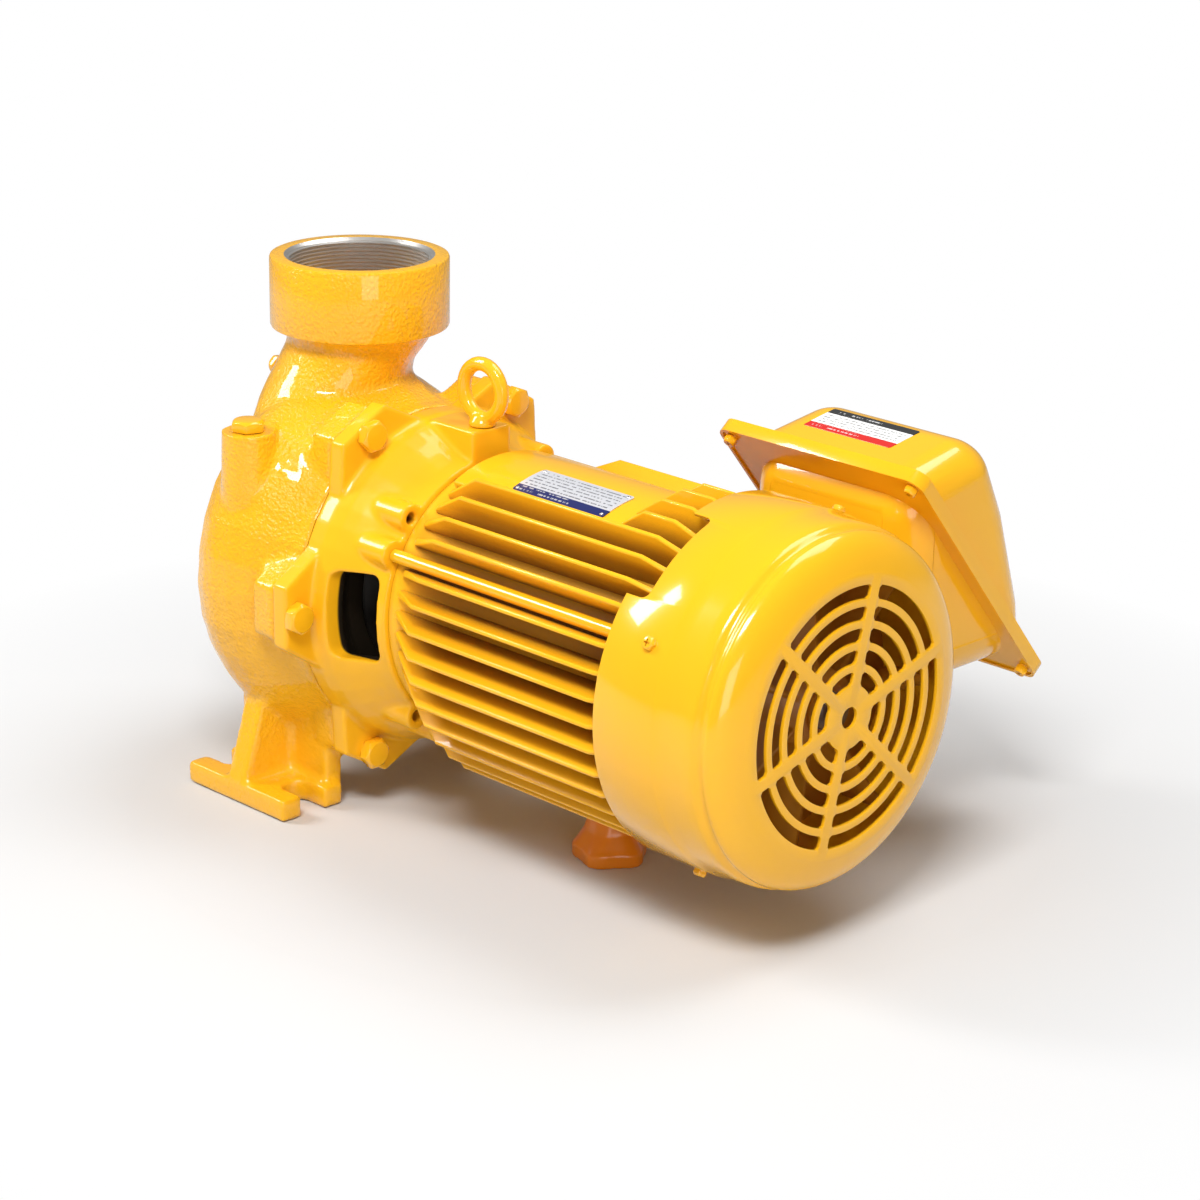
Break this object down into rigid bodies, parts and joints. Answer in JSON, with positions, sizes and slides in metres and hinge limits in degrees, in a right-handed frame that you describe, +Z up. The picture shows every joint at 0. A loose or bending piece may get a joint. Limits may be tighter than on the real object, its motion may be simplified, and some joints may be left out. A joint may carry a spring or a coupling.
{
  "type": "centrifugal pump",
  "caption": "Close-coupled centrifugal pump: volute casing with threaded ports, bracket, finned motor, fan cover with slotted grille, slanted terminal box.",
  "frame": {"origin": "floor level under the middle of the outer box", "axes": "+X along the shaft from the suction port to the fan cover, +Z up, the terminal box on the +Y side"},
  "size_m": [0.488, 0.3508, 0.324],
  "materials": {
    "back_plate": "gloss enamel",
    "box_gasket": "matt",
    "casing_gasket": "matt",
    "cooling_fan": "moulded, overspray",
    "eye_bolt": "gloss enamel",
    "fan_clip": "gloss enamel",
    "fan_cover": "gloss enamel",
    "gauge_plug": "gloss enamel",
    "impeller": "as cast",
    "impeller_nut": "gloss enamel",
    "motor_bracket": "gloss enamel",
    "motor_frame": "gloss enamel",
    "priming_plug": "gloss enamel",
    "rear_shield": "gloss enamel",
    "rear_support": "gloss enamel",
    "rotor_shaft": "ground",
    "seal_ring": "lapped",
    "support_stud": "gloss enamel",
    "terminal_box_base": "gloss enamel",
    "terminal_box_cover": "gloss enamel",
    "tie_rod_1": "gloss enamel",
    "tie_rod_2": "gloss enamel",
    "tie_rod_3": "gloss enamel",
    "tie_rod_4": "gloss enamel",
    "volute_casing": "gloss enamel over rough casting"
  },
  "bodies": {
    "pump": {"back_plate": "back_plate", "box_gasket": "box_gasket", "casing_gasket": "casing_gasket", "eye_bolt": "eye_bolt", "fan_cover": "fan_cover", "gauge_plug": "gauge_plug", "motor_bracket": "motor_bracket", "motor_frame": "motor_frame", "priming_plug": "priming_plug", "rear_shield": "rear_shield", "rear_support": "rear_support", "support_stud": "support_stud", "terminal_box_base": "terminal_box_base", "terminal_box_cover": "terminal_box_cover", "tie_rod_1": "tie_rod_1", "tie_rod_2": "tie_rod_2", "tie_rod_3": "tie_rod_3", "tie_rod_4": "tie_rod_4", "volute_casing": "volute_casing"},
    "rotor": {"cooling_fan": "cooling_fan", "fan_clip": "fan_clip", "impeller": "impeller", "impeller_nut": "impeller_nut", "rotor_shaft": "rotor_shaft", "seal_ring": "seal_ring"}
  },
  "joints": [
    {"name": "rotor_spin", "type": "hinge", "parent": "pump", "child": "rotor", "pos_m": [-0.156, -0.05143, 0.1375], "axis": [1, 0, 0], "continuous": true}
  ]
}
